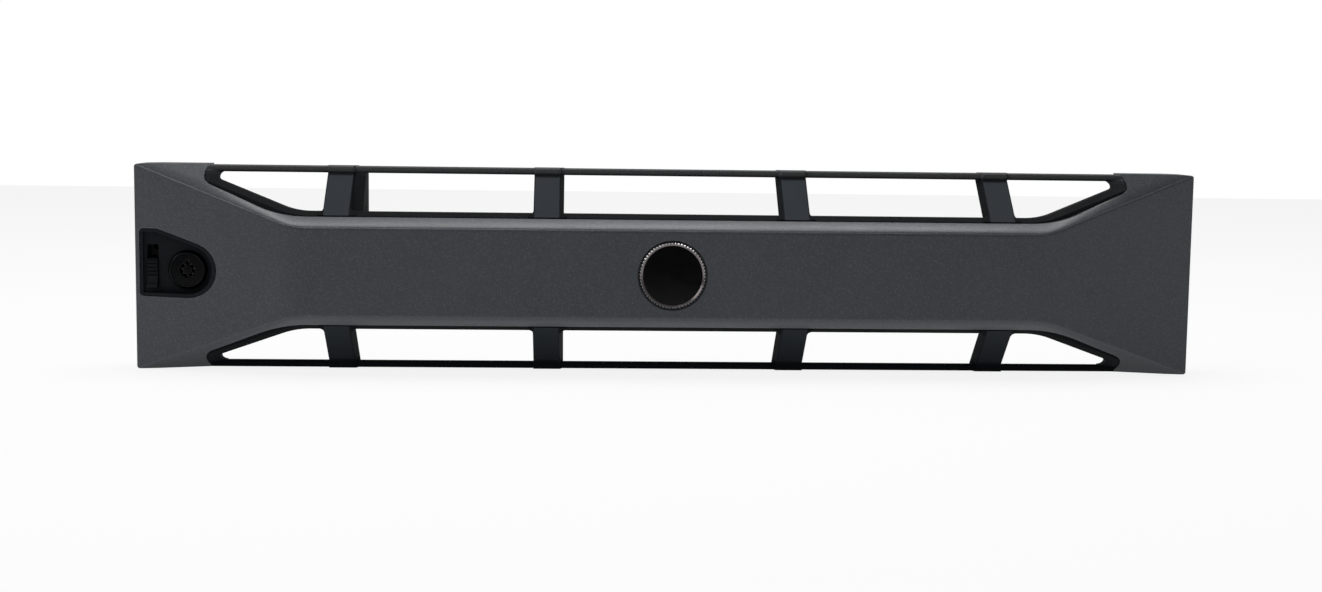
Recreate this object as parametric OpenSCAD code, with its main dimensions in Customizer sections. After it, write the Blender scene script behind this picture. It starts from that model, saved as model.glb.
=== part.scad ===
// Front bezel for a rack server two units high. A painted faceplate in the form of a bow tie
// covers a black moulded frame with ribbed air openings. The left end has a lock and a latch
// with two hooks, the right end two fixed hooks.
//
// Inside the modules Y is the depth behind the bar's front, and Z is measured from mid-height.
// placed() moves a finished piece to the part's frame: X across the width, Y to the rear, Z up.

/* [Body] */
// Overall width
body_w = 443; // [436:1:448]
// Overall height at the two ends
body_h = 85.4; // [84:0.2:89]
// Depth from the bar's front to the rear plane that meets the server
body_d = 38; // [36:0.5:44]
// How far the bar stands in front of the outer corners
bar_proud = 20; // [15:0.5:21]
// Height of the bar's flat front
bar_h = 36.2; // [33:0.2:38]
// Distance from the side edge to the middle of the bar's bend
bar_end = 66.5; // [61.5:1:76.5]
// Length over which each bend is spread
bend_l = 14; // [4:1:20]
// Depth that the slanted facets gain for each millimetre of height
facet_slope = 1.65; // [1.4:0.05:1.9]
// Rounding of the long creases
crease_r = 1.5; // [0.6:0.1:2.5]
// How much the outermost corners are lowered
corner_drop = 0.2; // [0.1:0.1:1.5]
// Length of the taper towards each corner
corner_taper = 8; // [4:0.5:12]
// Rounding of the four corners
corner_r = 1.2; // [0.5:0.1:2]

/* [Faceplate walls] */
// Thickness of the face and its facets
face_wall = 2.4; // [1.8:0.1:3]
// Thickness of the side walls
side_wall = 1.8; // [1.4:0.1:2.2]
// Thickness of the top and bottom walls
top_wall = 2.2; // [1.6:0.1:2.6]

/* [Air openings] */
// Half height of the seam between faceplate and frame along the bar
seam_z = 22.2; // [21:0.1:23]
// Distance from the side edge to the corner of the seam's straight stretch
seam_end = 61.7; // [59.5:0.2:65.5]
// Slope of the seam at the ends
seam_angle = 21.8; // [20:0.1:23]
// Radius of the seam where it turns upwards
seam_r = 55; // [30:1:60]
// Radius of the seam's nose
nose_r = 5; // [4:0.1:6]
// Height by which the nose runs out over the top edge
nose_over = 1.3; // [0.5:0.1:2]
// Distance from the nose's outermost point to the seam's upright end above it
nose_back = 1; // [0.2:0.1:2]
// Gap between faceplate and frame
fit_gap = 0.15; // [0.1:0.05:0.3]
// Half height at which the openings start
opening_z = 24.2; // [24:0.1:26]
// Distance from the side edge to the corner of the openings' straight edge
opening_side = 67.3; // [65.5:0.2:71.5]
// Slope of the openings' slanted edge
opening_angle = 20.3; // [19:0.1:22]
// Radius of the openings where they turn upwards
opening_bend_r = 33; // [15:1:40]
// Radius of the openings' pointed corner
opening_r = 1.7; // [1.2:0.1:2.4]
// How far the rails' outer face lies inside the overall height
rail_drop = 0.3; // [-0.1:0.1:0.9]
// Thickness of the rails
rail_t = 2.9; // [2:0.1:3.2]
// Depth of the rails' front
rail_d = 26.5; // [26:0.1:28]
// Depth of a rail from front to back
rail_w = 3.2; // [2.6:0.1:4]
// Rounding of the rails' long edges
rail_r = 0.7; // [0.4:0.1:1]
// Least setback of the frame's lip behind the faceplate's edge
lip_setback = 0.8; // [0.6:0.1:2]
// Depth of the lip's front along the bar
lip_d = 7.9; // [7.6:0.1:10]
// Slope of the lip's front
lip_slope = 0.5; // [0:0.1:1]
// Thickness of the lip from front to back
lip_t = 4.6; // [4:0.1:6]
// Thickness of the walls from the lip to the rear
shelf_t = 2; // [1.6:0.1:2.4]

/* [Ribs across the openings] */
// Width of a rib's front
rib_w = 10.8; // [8:0.2:14]
// Thickness of a rib
rib_t = 4.6; // [3:0.2:5]
// Distance of the inner ribs' outer edge from the middle
rib_in_x = 57.2; // [50:0.2:65]
// Distance of the outer ribs' outer edge from the side edge
rib_side = 78.4; // [75.5:0.1:85.5]
// Width of the slanted flank on a rib's inner side
rib_flank = 2; // [0:0.2:3]
// Rounding of a rib's front edges
rib_r = 0.8; // [0.4:0.1:1.2]
// Radius at the foot of a rib
rib_foot_r = 2; // [1:0.5:3]
// How far a rib's end stands over its rail
rib_over = 0.2; // [0.1:0.1:0.8]
// Width of the post behind the upper left rib
post_w = 4.4; // [3.6:0.2:7]

/* [Inner frame] */
// Thickness of the frame's back web
web_t = 2.2; // [1.6:0.1:2.6]
// Distance of the web's rear face from the rear plane
web_recess = 2.6; // [2.4:0.1:4]
// Thickness of the rim round the two ends
rim_t = 1.4; // [1:0.1:1.4]
// Thickness of the stiffening ribs behind the web
brace_t = 1.4; // [1:0.1:2]
// Distance between the stiffening ribs
brace_pitch = 20; // [20:1:20]

/* [Screws] */
// Radius of the screw posts
post_r = 3.2; // [2.8:0.1:3.4]
// Radius of a screw's shank
screw_r = 1.3; // [1.1:0.05:1.4]
// Radius of a screw's head
screw_head_r = 2.7; // [2.3:0.1:2.8]
// Height of a screw's head
screw_head_h = 1.8; // [1.2:0.1:2]
// Length of the faceplate's screws under the head
screw_l = 9; // [7:0.5:12]
// Clearance round a shank in its pilot hole
pilot_gap = 0.03; // [0.02:0.01:0.08]
// Clearance round a shank in a through hole
through_gap = 0.3; // [0.2:0.05:0.5]

/* [Badge] */
// Radius of the round recess in the bar
badge_recess_r = 14.3; // [12:0.1:16]
// Depth of that recess
badge_recess_d = 1.2; // [0.8:0.1:1.4]
// Radius of the badge's ring
badge_r = 13.8; // [11:0.1:13.9]
// Width of the ring
badge_ring_w = 1.8; // [1.2:0.1:2.4]
// Height of the ring above the bar
badge_proud = 0.9; // [0.4:0.1:1.5]
// Height by which the disc lies below the ring's edge
badge_sink = 0.5; // [0.2:0.1:0.8]
// Thickness of the adhesive pad
badge_pad_t = 0.3; // [0.2:0.05:0.5]
// Radius of the ring's two locating pins
badge_pin_r = 0.8; // [0.6:0.1:0.9]

/* [Lock housing] */
// Distance of the lock's axis from the left edge
lock_edge = 21.3; // [20.5:0.1:24]
// Height of the lock's axis above mid-height
lock_z = -1.1; // [-1.6:0.1:-0.6]
// Depth of the pocket's floor behind the outer corners
floor_set = 0.5; // [0.3:0.1:1]
// Thickness of the housing's floor
floor_t = 3.5; // [3.2:0.1:4]
// Thickness of the pocket's walls
pocket_wall = 1.3; // [1:0.1:1.5]
// Radius of the pocket's round end about the lock
pocket_r = 10.8; // [10.2:0.1:11.4]
// Height of the pocket's upper edge above the lock's axis
pocket_top = 17; // [16:0.1:18]
// Growth of the round end's radius from floor to mouth
flare_r = 0.9; // [0.4:0.1:1.5]
// Shift of the round end to the right from floor to mouth
flare_x = 1.8; // [1:0.1:2.4]
// Half height of the housing's base
base_half_h = 34; // [33.5:0.5:34]
// Half width of the base to the right of the lock
base_right = 12.7; // [12.5:0.1:13]

/* [Release slider and latch] */
// Width of the slider's slot
slot_w = 4.6; // [4:0.1:5]
// Height of the slot
slot_h = 18.2; // [17:0.1:20]
// Distance of the slot's middle from the left edge
slot_edge = 7.05; // [6.9:0.05:7.6]
// Height of the slot's middle above mid-height
slot_z = 0.2; // [0:0.1:0.6]
// Travel of the latch
latch_travel = 5.5; // [4:0.5:6]
// Clearance round the slider
slide_gap = 0.25; // [0.15:0.05:0.35]
// Height of the slider's ridges above the floor
slider_proud = 1.2; // [0.6:0.1:1.6]
// Thickness of the latch plate and of the hooks
sheet_t = 1.5; // [1.2:0.1:1.6]
// Half height of the latch plate
latch_half_h = 30; // [29:0.5:32]
// Height of the hooks' middle from mid-height
hook_z = 25; // [24:0.5:25]
// Height of a hook's shank
hook_h = 8; // [7:0.5:8]
// How far the hooks reach behind the rear plane
hook_reach = 6; // [5:0.5:8]
// Thickness of the server's ear that the hooks grip
ear_t = 1.8; // [1:0.1:2.5]
// Clearance between the latch's return spring and the pieces in front of it and behind it
spring_gap = 0.95; // [0.7:0.05:1.2]
// Radius of the spring's wire
wire_r = 0.35; // [0.3:0.05:0.4]
// Number of the spring's turns
spring_turns = 7; // [4:1:8]
// Height of the spring's lower seat above mid-height
spring_seat_z = 9.5; // [9:0.5:10.5]
// Height of the spring at rest
spring_h = 14.5; // [13:0.5:15]

/* [Lock] */
// Radius of the lock's flange
lock_flange_r = 7.9; // [7.4:0.1:8.1]
// Radius of the lock's barrel
barrel_r = 5.9; // [5.6:0.1:6]
// Height of the flange above the pocket's floor
flange_proud = 1.6; // [1:0.1:2]
// Radius of the plug's head
plug_head_r = 6.6; // [6:0.1:6.7]
// Radius of the plug's body
plug_r = 4.4; // [4.1:0.1:4.6]
// Running clearance of the plug in its barrel
run_gap = 0.06; // [0.03:0.01:0.1]
// Outer radius of the round keyway
key_r = 3.1; // [2.9:0.1:3.3]
// Radius of the keyway's centre post
key_post_r = 1.9; // [1.7:0.1:2]
// Depth of the keyway
key_d = 5; // [3:0.5:7]
// Number of the lock's pins
pin_count = 7; // [6:1:8]
// Radius of a lock pin
key_pin_r = 0.45; // [0.35:0.05:0.5]
// Length of the cam's tongue from the lock's axis
cam_l = 18; // [16:0.5:18.5]
// Width of the cam's tongue
cam_w = 8; // [6:0.5:9]
// Thickness of the cam
cam_t = 1.5; // [1.2:0.1:2]

/* [Hook bracket] */
// Distance of the bracket's outer face from the right edge
bracket_edge = 4.5; // [4:0.5:6]
// Width of the bracket's flat
bracket_w = 20; // [18:1:22]
// Half height of the bracket
bracket_half_h = 33; // [31:1:34]
// How far the hooks' tips turn outwards
hook_turn = 3.5; // [2.5:0.5:3.8]

/* [Colours] */
paint_color = "#4c5157";
frame_color = "#1d1e20";
steel_color = "#b7bbbf";
badge_color = "#cfd2d6";
disc_color = "#08090b";
plated_color = "#2b2c2f";

/* [Hidden] */
$fn = 48;
// A length that cuts run past a surface
over = 1;

// Places that several pieces share
half_w = body_w / 2;
half_h = body_h / 2;
bar_half_l = half_w - bar_end;
seam_half_l = half_w - seam_end;
opening_half_l = half_w - opening_side;
rib_out_x = half_w - rib_side;
hook_end = body_d + hook_reach;
overall_d = badge_proud + hook_end;
corner_z = half_h - corner_drop;
face_m = bar_proud / (half_w - bar_half_l);
crease_m = (corner_z - bar_h / 2) / (half_w - bar_half_l);
rail_z = half_h - rail_drop;
opening_top = rail_z - rail_t;
nose_top = half_h + nose_over;
nose_x = seam_half_l + (nose_top - seam_z) / tan(seam_angle) - nose_r / tan(seam_angle / 2);
opening_end = opening_half_l + (opening_top - opening_z) / tan(opening_angle)
    - opening_r / tan(opening_angle / 2);
web_d = body_d - web_recess - web_t;
web_back = web_d + web_t;
frame_half_w = half_w - side_wall - fit_gap;
frame_half_h = half_h - top_wall - fit_gap;

lock_x = lock_edge - half_w;
slot_x = slot_edge - half_w;
floor_d = bar_proud + floor_set;
floor_back = floor_d + floor_t;
latch_d = floor_back + 0.6;
latch_back = latch_d + sheet_t;
latch_left = side_wall + 2.2 - half_w;
latch_right = slot_x + 5;
slider_h = slot_h - latch_travel - 2 * slide_gap;
slider_z = slot_z - slot_h / 2 + slide_gap + slider_h / 2;
pilot_r = screw_r + pilot_gap;
through_r = screw_r + through_gap;

spring_x = lock_x - 4.6;
spring_d = (latch_back + web_d) / 2;
spring_r = web_d - spring_d - spring_gap;
spring_top = spring_seat_z + spring_h;
spigot_r = spring_r - 2 * wire_r - 0.25;

flange_back = floor_d + 0.8;
plug_front = floor_d - flange_proud + 0.4;
plug_head_t = 1;
cam_d = body_d + ear_t + 0.2;
tail_half = 2.5;
bracket_x = half_w - bracket_edge;

// Where screws join the frame to the faceplate: on the bar and on the two ends
outer_x = bar_half_l - 15;
bar_screw_z = bar_h / 2 - 5.1;
end_screw_x = half_w - 45.5;
end_screw_z = half_h - 23.7;
bar_screws = [for (x = [-outer_x, -60, 60, outer_x], z = [-bar_screw_z, bar_screw_z]) [x, z]];
end_screws = [for (x = [-end_screw_x, end_screw_x], z = [-end_screw_z, end_screw_z]) [x, z]];
face_screw_places = concat(bar_screws, end_screws);
housing_screw_places = [
    [lock_x - 2.8, base_half_h - 3.5], [lock_x - 2.8, 3.5 - base_half_h],
    [lock_x + base_right - 3.3, base_half_h - 16], [lock_x + base_right - 3.3, 15 - base_half_h]
];
bracket_screw_z = bracket_half_h - 11;
bracket_screw_places = [for (z = [-bracket_screw_z, 0, bracket_screw_z])
    [bracket_x - 0.6 * bracket_w, z]];
guide_places = [for (z = [11 - latch_half_h, latch_half_h - 16]) [slot_x + 1.2, z]];
guide_r = 1.5;
guide_head_r = 2.4;

// ---------- helpers ----------

// Moves a piece from the drawing's axes to the part's frame
module placed() {
    translate([0, badge_proud - overall_d / 2, half_h]) children();
}

// Extrudes a front view from depth d0 to depth d1
module slab(d0, d1) {
    translate([0, d1, 0]) rotate([90, 0, 0]) linear_extrude(d1 - d0) children();
}

// Extrudes a side view (depth, height) from x0 to x1
module along_x(x0, x1) {
    translate([x0, 0, 0]) rotate([90, 0, 90]) linear_extrude(x1 - x0) children();
}

// A cylinder along the depth at a front-view place
module rod(place, r, d0, d1) {
    translate([place.x, d1, place.y]) rotate([90, 0, 0]) cylinder(r = r, h = d1 - d0);
}

// A shape and its mirror image in mid-height
module upper_and_lower() {
    children();
    mirror([0, 0, 1]) children();
}

// A centred rectangle with rounded corners
module round_rect(w, h, r) {
    polygon(rounded([[-w / 2, -h / 2, r], [w / 2, -h / 2, r], [w / 2, h / 2, r], [-w / 2, h / 2, r]]));
}

function unit(v) = v / norm(v);

// The arc that rounds the corner b between a and c
function corner_arc(a, b, c, r) =
    let (
        p = [b.x, b.y],
        u = unit([a.x, a.y] - p),
        v = unit([c.x, c.y] - p),
        half = acos(u * v) / 2,
        centre = p + unit(u + v) * r / sin(half),
        first = p + u * r / tan(half) - centre,
        last = p + v * r / tan(half) - centre,
        start = atan2(first.y, first.x),
        sweep = (atan2(last.y, last.x) - start + 540) % 360 - 180,
        steps = max(2, ceil(abs(sweep) / (r > 20 ? 3 : 15)))
    )
    [for (i = [0 : steps]) centre + r * [cos(start + sweep * i / steps), sin(start + sweep * i / steps)]];

// An outline whose corners [x, y, radius] are rounded
function rounded(corners) =
    let (n = len(corners))
    [for (i = [0 : n - 1])
        let (c = corners[i])
        each (c[2] > 0 ? corner_arc(corners[(i + n - 1) % n], c, corners[(i + 1) % n], c[2])
            : [[c.x, c.y]])];

// A trapezoid that widens upwards from z0 to z1, grown by a distance on all sides
function trapezoid(half_l, z0, z1, angle, r0, r1, grow = 0) =
    let (
        low_x = half_l + grow * tan(angle / 2),
        low_z = z0 - grow,
        high_z = z1 + grow,
        high_x = low_x + (high_z - low_z) / tan(angle)
    )
    rounded([[-low_x, low_z, r0 + grow], [low_x, low_z, r0 + grow],
        [high_x, high_z, r1 + grow], [-high_x, high_z, r1 + grow]]);

module seam_shape(grow = 0) {
    polygon(trapezoid(seam_half_l, seam_z, nose_top, seam_angle, seam_r, nose_r, grow));
    // the upright end between the nose and the top edge
    end_x = nose_x + nose_r - nose_back + grow;
    translate([-end_x, nose_top - nose_r]) square([2 * end_x, nose_r + grow]);
}

module opening_shape(grow = 0) {
    polygon(trapezoid(opening_half_l, opening_z, opening_top, opening_angle,
        opening_bend_r, opening_r, grow));
}

// ---------- the sculpted front ----------

// Growth of a slope m along x, with its start spread over the bend
function bend(x, m) =
    let (u = abs(x) - bar_half_l + bend_l / 2)
    u <= 0 ? 0 : u >= bend_l ? m * (u - bend_l / 2) : m * u * u / (2 * bend_l);

bend_steps = 6;
bend_xs = [for (i = [0 : bend_steps]) bar_half_l + bend_l * (i / bend_steps - 0.5)];
stations = concat([-half_w - over], [for (i = [bend_steps : -1 : 0]) -bend_xs[i]],
    bend_xs, [half_w + over]);
crease_steps = 4;

// The rounded crease in side view, from the flat face to a facet of some slope
function crease_arc(r, slope) =
    [for (i = [0 : crease_steps])
        let (a = atan(slope) * i / crease_steps)
        [r - r * cos(a), r * sin(a) - r * tan(atan(slope) / 2)]];

// Side view of everything behind the front surface at x, inset by a wall
function front_section(x, inset, r, slope) =
    let (
        d = bend(x, face_m) + inset,
        z = bar_h / 2 + bend(x, crease_m) - inset * (sqrt(1 + slope * slope) - 1) / slope,
        far = half_h,
        top = concat([for (p = crease_arc(r, slope)) [d + p.x, z + p.y]],
            [[d + far * slope, z + far], [4 * body_d, z + far]])
    )
    concat([for (i = [len(top) - 1 : -1 : 0]) [top[i].x, -top[i].y]], top);

// The solid behind the whole front surface, lofted through the sections
module behind_front(inset = 0, r = crease_r, slope = facet_slope) {
    sections = [for (x = stations) [for (p = front_section(x, inset, r, slope)) [x, p.x, p.y]]];
    n = len(sections[0]);
    last = len(stations) - 1;
    polyhedron(
        points = [for (s = sections) each s],
        faces = concat(
            [[for (j = [n - 1 : -1 : 0]) j]],
            [[for (j = [0 : n - 1]) last * n + j]],
            [for (i = [0 : last - 1], j = [0 : n - 1])
                [i * n + j, i * n + (j + 1) % n, (i + 1) * n + (j + 1) % n, (i + 1) * n + j]]
        ),
        convexity = 4
    );
}

// ---------- lock pocket ----------

// Front view of the pocket: square on the left, round about the lock on the right
function pocket_points(flare, grow) =
    let (
        x = lock_x + flare * flare_x,
        z = lock_z + flare * 0.6,
        r = pocket_r + flare * flare_r + grow,
        left = side_wall + fit_gap - half_w - grow,
        high = lock_z + pocket_top + grow,
        a = seam_angle,
        // the slanted edge and the right edge are tangents of the round end
        right_z = z + r * (1 - sin(a)) / cos(a),
        high_x = x + (r - (high - z) * cos(a)) / sin(a)
    )
    rounded([[left, z - r, 1.6 + grow], [x + r, z - r, r - 0.01], [x + r, right_z, r - 0.01],
        [high_x, high, 3], [left, high, 1.6 + grow]]);

// The flare at depth d: 0 at the floor, 1 at the mouth
function flare_at(d) = (floor_d - d) / 10.5;

// The flaring solid of the pocket, from its floor's rear face to beyond its mouth
module pocket(grow = 0) {
    front = floor_d - 12;
    mouth = pocket_points(flare_at(front), grow);
    base = pocket_points(flare_at(floor_back), grow);
    n = len(mouth);
    polyhedron(
        points = concat([for (p = mouth) [p.x, front, p.y]], [for (p = base) [p.x, floor_back, p.y]]),
        faces = concat(
            [[for (j = [n - 1 : -1 : 0]) j]],
            [[for (j = [0 : n - 1]) n + j]],
            [for (j = [0 : n - 1]) [j, (j + 1) % n, n + (j + 1) % n, n + j]]
        )
    );
}

// ---------- faceplate ----------

module body_outline() {
    polygon(rounded([
        [-half_w, -corner_z, corner_r], [corner_taper - half_w, -half_h, 0],
        [half_w - corner_taper, -half_h, 0], [half_w, -corner_z, corner_r],
        [half_w, corner_z, corner_r], [half_w - corner_taper, half_h, 0],
        [corner_taper - half_w, half_h, 0], [-half_w, corner_z, corner_r]
    ]));
}

module face_outline() {
    difference() {
        body_outline();
        seam_shape();
        mirror([0, 1]) seam_shape();
    }
}

module hollow_outline() {
    square([2 * (half_w - side_wall), 2 * (half_h - top_wall)], center = true);
}

module faceplate() {
    placed() color(paint_color) difference() {
        union() {
            difference() {
                intersection() {
                    behind_front();
                    slab(-over, body_d) face_outline();
                }
                intersection() {
                    behind_front(face_wall, crease_r / 2);
                    slab(-over, body_d + over) hollow_outline();
                }
            }
            intersection() {
                behind_front(face_wall / 2);
                for (place = face_screw_places) rod(place, post_r, -over, web_d);
            }
        }
        for (place = face_screw_places)
            rod(place, pilot_r, web_back - screw_l - 0.5, web_d + over);
        pocket(fit_gap);
        rod([0, 0], badge_recess_r, -over, badge_recess_d);
        for (side = [-1, 1])
            rod([side * badge_pin_x, 0], badge_pin_r + 0.1, -over, face_wall + over);
    }
}

// ---------- inner frame ----------

// The solid behind the lip's front, moved back by a distance
module behind_lip(back = 0) {
    start = lip_d - (seam_z - bar_h / 2) * lip_slope;
    intersection() {
        translate([0, lip_setback + back, 0]) behind_front();
        translate([0, start + back, 0]) behind_front(0, crease_r, lip_slope);
    }
}

// Front view of the band between seam and opening, without the free stretch of the rail
module band_outline(grow) {
    difference() {
        seam_shape(grow);
        opening_shape();
        translate([-body_w, rail_z - 0.2]) square([2 * body_w, body_h]);
        translate([-opening_end, opening_top - 0.1]) square([2 * opening_end, body_h]);
    }
}

// The lip round one row of openings, and the walls from it to the rear
module opening_surround() {
    difference() {
        union() {
            intersection() {
                slab(0, body_d) band_outline(-fit_gap);
                behind_lip();
            }
            intersection() {
                slab(0, body_d) band_outline(shelf_t);
                behind_front(face_wall + fit_gap, crease_r / 2);
                slab(0, body_d) square([2 * frame_half_w, 2 * frame_half_h], center = true);
            }
        }
        intersection() {
            behind_lip(lip_t);
            slab(0, body_d + over) seam_shape(0);
        }
    }
}

// The slim rail along the outer edge of the openings
module rail() {
    intersection() {
        along_x(-half_w, half_w) translate([rail_d + rail_w / 2, rail_z - rail_t / 2])
            round_rect(rail_w, rail_t, rail_r);
        slab(0, body_d) seam_shape(-fit_gap);
    }
}

// Cross-section of a rib: its front at y = 0, the slanted flank on the side of positive x
module rib_section() {
    polygon(rounded([[0, 0, rib_r], [rib_w, 0, rib_r], [rib_w + rib_flank, rib_t, 0.5], [0, rib_t, 0.5]]));
}

// A slanting rib between lip and rail, its outer edge at x = 0
module rib() {
    run = rail_d - lip_d - 1;
    rise = opening_top - opening_z + 1;
    slant = atan2(run, rise);
    foot = 1 / cos(slant);
    intersection() {
        translate([0, lip_d, opening_z - 1]) rotate([-slant, 0, 0]) {
            translate([0, 0, -6]) linear_extrude(norm([run, rise]) + 12) rib_section();
            // the fillets at the foot
            slab(0.3, rib_t - 0.3) for (side = [0, 1])
                translate([side * (rib_w + rib_flank / 2), foot]) mirror([1 - side, 0]) difference() {
                    translate([-1, -2]) square([rib_foot_r + 1, rib_foot_r + 2]);
                    translate([rib_foot_r, rib_foot_r]) circle(r = rib_foot_r);
                }
        }
        along_x(-2 * rib_foot_r, rib_w + rib_flank + 2 * rib_foot_r) translate([0, opening_z - 1.5])
            square([body_d, opening_top - opening_z + 2.5]);
    }
    // the end that closes round the rail
    end_h = rail_t + 1 + rib_over;
    intersection() {
        translate([0, rail_d - 1.1, opening_top - 1]) linear_extrude(end_h) rib_section();
        along_x(-over, rib_w + rib_flank + over)
            translate([rail_d - 1.1 + rib_t / 2, opening_top - 1 + end_h / 2]) round_rect(rib_t, end_h, 0.9);
    }
}

// The post that stands behind the upper left rib
module rib_post() {
    x = rib_w + 0.6 - rib_out_x;
    along_x(x, x + post_w) polygon([
        [lip_d + lip_t - 1, seam_z - 1], [rail_d + 0.6, opening_top + 1.2],
        [body_d - 2, opening_top + 1.2], [body_d - 2, seam_z - 1]
    ]);
}

// Front view of the frame's back
module web_outline() {
    difference() {
        square([2 * frame_half_w, 2 * frame_half_h], center = true);
        seam_shape();
        mirror([0, 1]) seam_shape();
    }
}

module rim_outline() {
    difference() {
        web_outline();
        square([2 * (frame_half_w - rim_t), 2 * (frame_half_h - rim_t)], center = true);
    }
}

// The ribs that stiffen the web behind the bar
module braces() {
    end = brace_pitch * (floor(bar_half_l / brace_pitch) + 0.5);
    slab(web_back - 0.5, body_d - 0.4) {
        for (x = [-end : brace_pitch : end])
            translate([x, 0]) square([brace_t, 2 * seam_z - 1], center = true);
        square([2 * end, brace_t], center = true);
    }
}

// The slots that the two latch hooks move in
module hook_slots() {
    for (z = [-hook_z, hook_z])
        slab(web_d - over, body_d + over)
            translate([latch_left - 0.4, z - hook_h / 2 - 0.9])
                square([sheet_t + 1.2, hook_h + latch_travel + 1.8]);
}

module inner_frame() {
    placed() color(frame_color) difference() {
        union() {
            upper_and_lower() {
                opening_surround();
                rail();
                for (side = [0, 1], x = [rib_in_x, rib_out_x])
                    mirror([side, 0, 0]) translate([-x, 0, 0]) rib();
            }
            rib_post();
            slab(web_d, web_back) web_outline();
            slab(web_back - 0.5, body_d) rim_outline();
            braces();
            for (place = bracket_screw_places) rod(place, post_r, web_d - 4, web_d + 0.5);
        }
        hook_slots();
        rod([lock_x, lock_z], barrel_r + 0.4, web_d - over, body_d + over);
        for (place = concat(face_screw_places, housing_screw_places))
            rod(place, through_r, web_d - over, web_back + over);
        for (place = bracket_screw_places) rod(place, pilot_r, web_d - 4 - over, web_back + over);
    }
}

// ---------- badge ----------

badge_base = badge_recess_d - badge_pad_t;
badge_pin_x = badge_r - badge_ring_w - 1.5;

module badge_ring() {
    inner = badge_r - badge_ring_w;
    placed() color(badge_color) {
        translate([0, badge_base, 0]) rotate([90, 0, 0]) rotate_extrude() polygon([
            [inner - 2.5, 0], [badge_r, 0], [badge_r, badge_base + badge_proud - 0.5],
            [badge_r - 0.4, badge_base + badge_proud], [badge_r - 0.9, badge_base + badge_proud],
            [inner, badge_base + badge_proud - badge_sink - 0.3], [inner, 0.5], [inner - 2.5, 0.5]
        ]);
        for (side = [-1, 1]) rod([side * badge_pin_x, 0], badge_pin_r, badge_base - 0.2, face_wall + 0.6);
    }
}

module badge_disc() {
    placed() color(disc_color)
        rod([0, 0], badge_r - badge_ring_w - 0.05, badge_sink - badge_proud, badge_base - 0.5);
}

module badge_pad() {
    placed() color(frame_color) difference() {
        rod([0, 0], badge_r - 0.3, badge_base, badge_recess_d);
        for (side = [-1, 1]) rod([side * badge_pin_x, 0], badge_pin_r + 0.1, 0, badge_recess_d + over);
    }
}

// ---------- lock housing ----------

module base_outline() {
    left = side_wall + 0.4 - half_w;
    right = lock_x + base_right;
    h = base_half_h;
    polygon(rounded([[left, -h, 1], [lock_x + 3, -h, 3], [right, -h * 0.66, 3],
        [right, h * 0.66, 3], [lock_x + 3, h, 3], [left, h, 1]]));
}

module lock_housing() {
    placed() color(frame_color) difference() {
        union() {
            intersection() {
                pocket();
                translate([0, 0.3, 0]) behind_front();
            }
            slab(floor_back - 2, floor_back) base_outline();
            for (place = housing_screw_places) rod(place, post_r, floor_back - 0.5, web_d);
            // shelf that the return spring pushes against
            translate([spring_x - spring_r - 0.8, floor_back - 0.5, spring_top])
                cube([2 * spring_r + 1.6, spring_d + spring_r + 0.4 - floor_back + 0.5, 1.8]);
            translate([spring_x, spring_d, spring_top - 2]) cylinder(r = spigot_r, h = 2.5);
            for (place = guide_places) rod(place, guide_r + 1.1, floor_back - 0.5, latch_d - 0.05);
        }
        intersection() {
            pocket(-pocket_wall);
            slab(0, floor_d) square([2 * body_w, body_h], center = true);
        }
        rod([lock_x, lock_z], lock_flange_r + 0.15, floor_d - over, flange_back);
        rod([lock_x, lock_z], barrel_r + 0.05, floor_d, floor_back + over);
        slab(floor_d - over, floor_back + over) translate([slot_x, slot_z]) round_rect(slot_w, slot_h, 0.6);
        for (place = housing_screw_places)
            rod(place, pilot_r, web_back - screw_l + 2.5, web_d + over);
        for (place = guide_places) rod(place, 0.9 + pilot_gap, floor_d + 1, latch_d + over);
    }
}

// ---------- lock ----------

module lock_barrel() {
    front = floor_d - flange_proud;
    placed() color(plated_color) translate([lock_x, front, lock_z]) rotate([-90, 0, 0]) difference() {
        rotate_extrude() polygon([
            [0, 0], [lock_flange_r - 0.7, 0], [lock_flange_r, 0.7], [lock_flange_r, flange_back - front],
            [barrel_r, flange_back - front], [barrel_r, body_d - front - 0.6],
            [barrel_r - 0.6, body_d - front], [0, body_d - front]
        ]);
        translate([0, 0, -over])
            cylinder(r = plug_head_r + run_gap, h = plug_front + plug_head_t - front + over);
        translate([0, 0, -over]) cylinder(r = plug_r + run_gap, h = body_d - front + 2 * over);
    }
}

module lock_nut() {
    placed() color(steel_color) translate([lock_x, floor_back, lock_z]) rotate([-90, 0, 0]) difference() {
        rotate(30) cylinder(r = 7 / cos(30), h = 2.5, $fn = 6);
        translate([0, 0, -over]) cylinder(r = barrel_r + 0.05, h = 2.5 + 2 * over);
    }
}

module lock_plug() {
    length = cam_d - plug_front;
    placed() color("#3a3b3e") translate([lock_x, plug_front, lock_z]) rotate([-90, 0, 0]) difference() {
        union() {
            cylinder(r = plug_head_r, h = plug_head_t - 0.02);
            cylinder(r = plug_r, h = length);
            translate([-tail_half, -tail_half, length - over])
                cube([2 * tail_half, 2 * tail_half, cam_t + over - 0.1]);
        }
        difference() {
            translate([0, 0, -over]) cylinder(r = key_r, h = key_d + over);
            translate([0, 0, 0.3]) cylinder(r = key_post_r, h = key_d + over);
        }
        // the notch for the key's tooth
        translate([-0.6, -key_r - 0.9, -over]) cube([1.2, 1.4, 2.5 + over]);
        translate([0, 0, cam_d + cam_t - plug_front - 7]) cylinder(r = 1.5, h = 7 + over);
    }
}

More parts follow.
